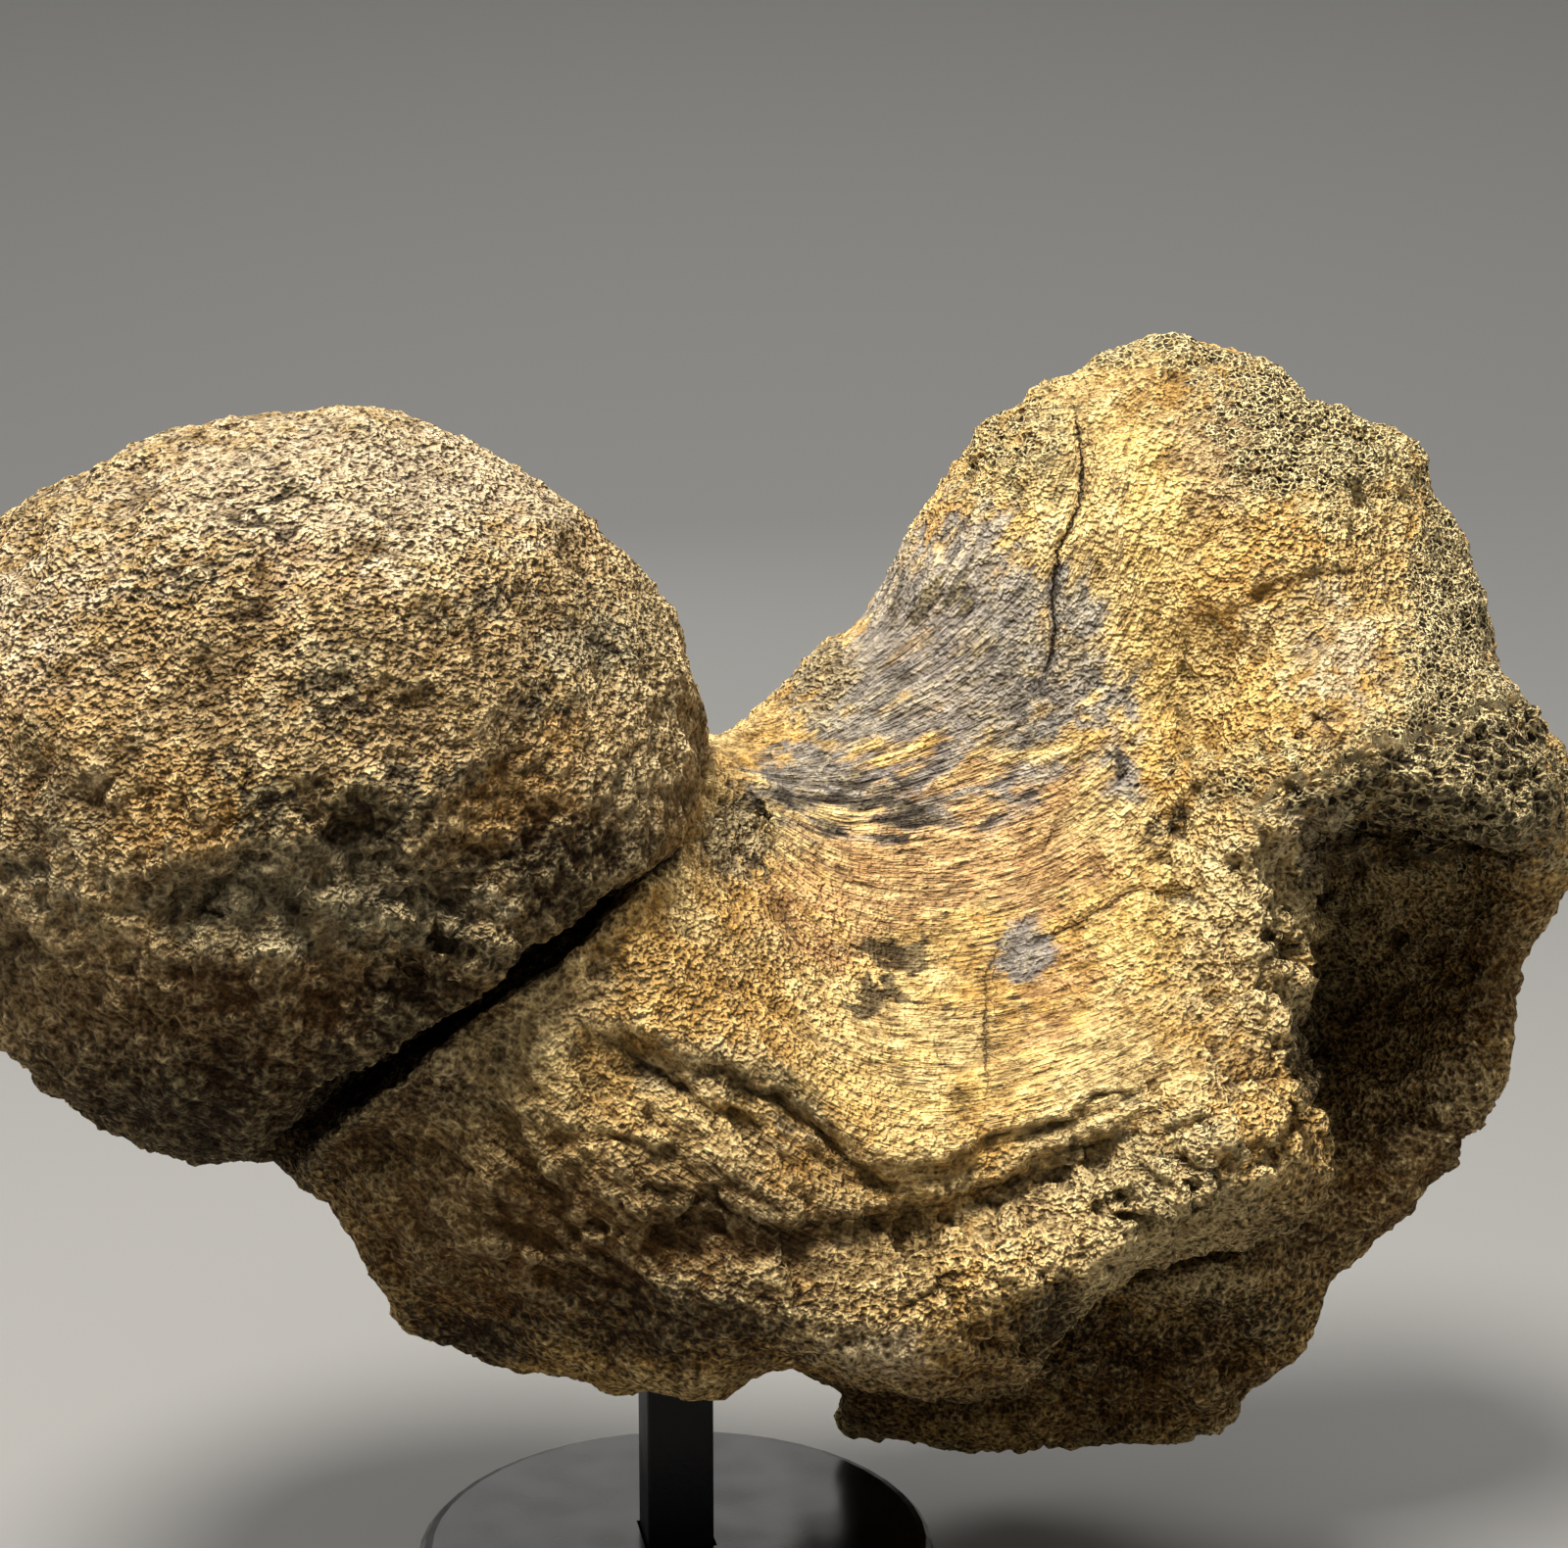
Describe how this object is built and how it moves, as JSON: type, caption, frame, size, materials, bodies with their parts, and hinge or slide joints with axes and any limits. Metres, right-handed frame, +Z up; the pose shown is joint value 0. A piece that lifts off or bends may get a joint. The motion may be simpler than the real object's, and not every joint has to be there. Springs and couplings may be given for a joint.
{
  "type": "fossil dinosaur occipital condyle on stand",
  "caption": "Fossil dinosaur occipital condyle: a round ball on a broken, flared piece of braincase, held up by a square black post on a round base.",
  "frame": {"origin": "centre of the round base's flat underside, straight below the post", "axes": "+Z up along the post; +X from the ball towards the broken braincase; the fossil's shown face looks along -Y"},
  "size_m": [0.2072, 0.103, 0.1651],
  "materials": {
    "fossil_bone": "matte",
    "post_black": "satin",
    "base_black": "gloss"
  },
  "bodies": {
    "root": {"occipital_condyle": "fossil_bone", "stand_post": "post_black", "stand_base": "base_black"}
  },
  "joints": []
}
